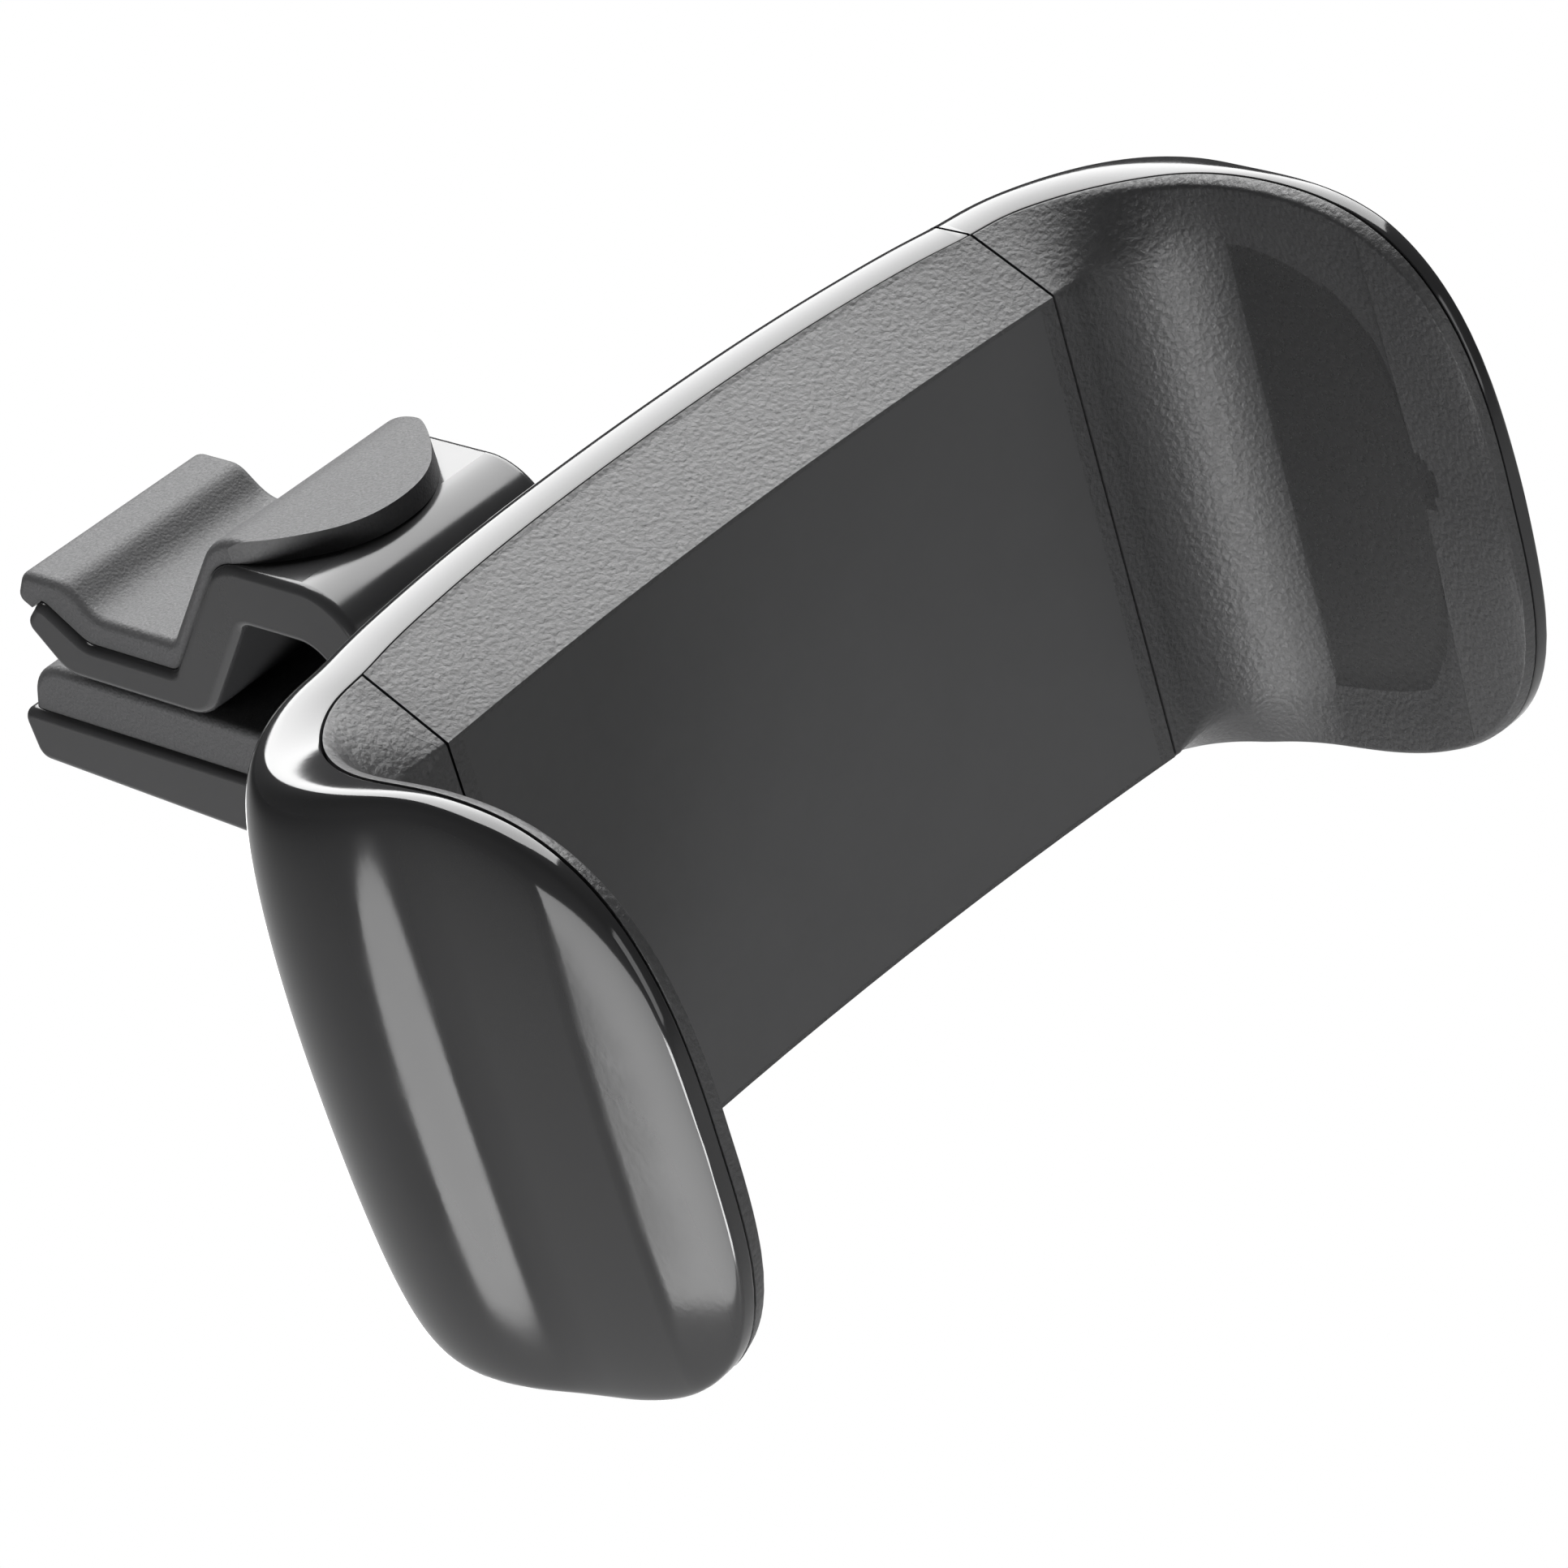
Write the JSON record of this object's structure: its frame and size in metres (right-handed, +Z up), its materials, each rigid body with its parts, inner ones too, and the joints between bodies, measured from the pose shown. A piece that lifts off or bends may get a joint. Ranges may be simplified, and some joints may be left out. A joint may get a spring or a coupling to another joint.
{
  "type": "air vent phone holder",
  "caption": "Spring-jaw phone cradle on a ball joint, carried by a sprung clip with rubber pads that grips an air vent blade.",
  "frame": {"origin": "middle of the gap between the clip's lever and lower pad, where it grips the vent blade", "axes": "+Y out of the clip's mouth towards the vent blade, -Y towards the phone, +Z up, +X towards the sliding jaw"},
  "size_m": [0.0634, 0.078, 0.0339],
  "materials": {
    "gloss_shell": "high gloss moulded black",
    "grained_cover": "fine leather grain, satin",
    "face_pad": "smooth satin",
    "clip_plastic": "moulded black, glossy",
    "clip_rubber": "fine grain, matte",
    "joint_plastic": "satin moulded black",
    "inner_plastic": "satin moulded dark grey",
    "nylon": "natural nylon",
    "steel": "zinc plated",
    "spring_steel": "drawn spring wire"
  },
  "bodies": {
    "clip": {"clip_base": "clip_plastic", "lower_pad": "clip_rubber", "hinge_pin": "steel", "lever_spring": "spring_steel", "ball_stud": "joint_plastic", "stud_screw": "steel"},
    "lever": {"clip_lever": "clip_plastic", "lever_cover": "clip_rubber"},
    "seat": {"ball_seat": "nylon"},
    "socket": {"ball_socket": "joint_plastic"},
    "collar": {"ring_nut": "joint_plastic"},
    "cradle": {"rear_shell": "gloss_shell", "front_cover": "grained_cover", "face_pad": "face_pad", "left_jaw_liner": "grained_cover", "cover_screws": "steel", "socket_retainer": "inner_plastic", "retainer_screws": "steel", "upper_spring": "spring_steel", "lower_spring": "spring_steel"},
    "jaw": {"right_jaw_shell": "gloss_shell", "right_jaw_liner": "grained_cover", "jaw_slider": "inner_plastic", "jaw_screws": "steel"}
  },
  "joints": [
    {"name": "lever_open", "type": "hinge", "parent": "clip", "child": "lever", "pos_m": [0, -0.02, 0.00145], "axis": [1, 0, 0], "range_deg": [0, 12], "stiffness_Nm_per_rad": 0.1, "springref_deg": -57.3, "deforming": ["lever_spring"]},
    {"name": "ball_tilt", "type": "hinge", "parent": "clip", "child": "seat", "pos_m": [0, -0.0334, 0.00385], "axis": [1, 0, 0], "range_deg": [-15, 15]},
    {"name": "ball_pan", "type": "hinge", "parent": "seat", "child": "socket", "pos_m": [0, -0.0334, 0.00385], "axis": [0, 0, 1], "range_deg": [-15, 15]},
    {"name": "head_spin", "type": "hinge", "parent": "socket", "child": "cradle", "pos_m": [0, -0.0334, 0.00385], "axis": [0, 1, 0], "continuous": true},
    {"name": "ring_turn", "type": "hinge", "parent": "socket", "child": "collar", "pos_m": [0, -0.0334, 0.00385], "axis": [0, 1, 0], "range_deg": [0, 180]},
    {"name": "jaw_slide", "type": "slide", "parent": "cradle", "child": "jaw", "axis": [1, 0, 0], "range_m": [0, 0.03], "stiffness_N_per_m": 150, "springref_m": -0.03, "deforming": ["upper_spring", "lower_spring"]}
  ]
}
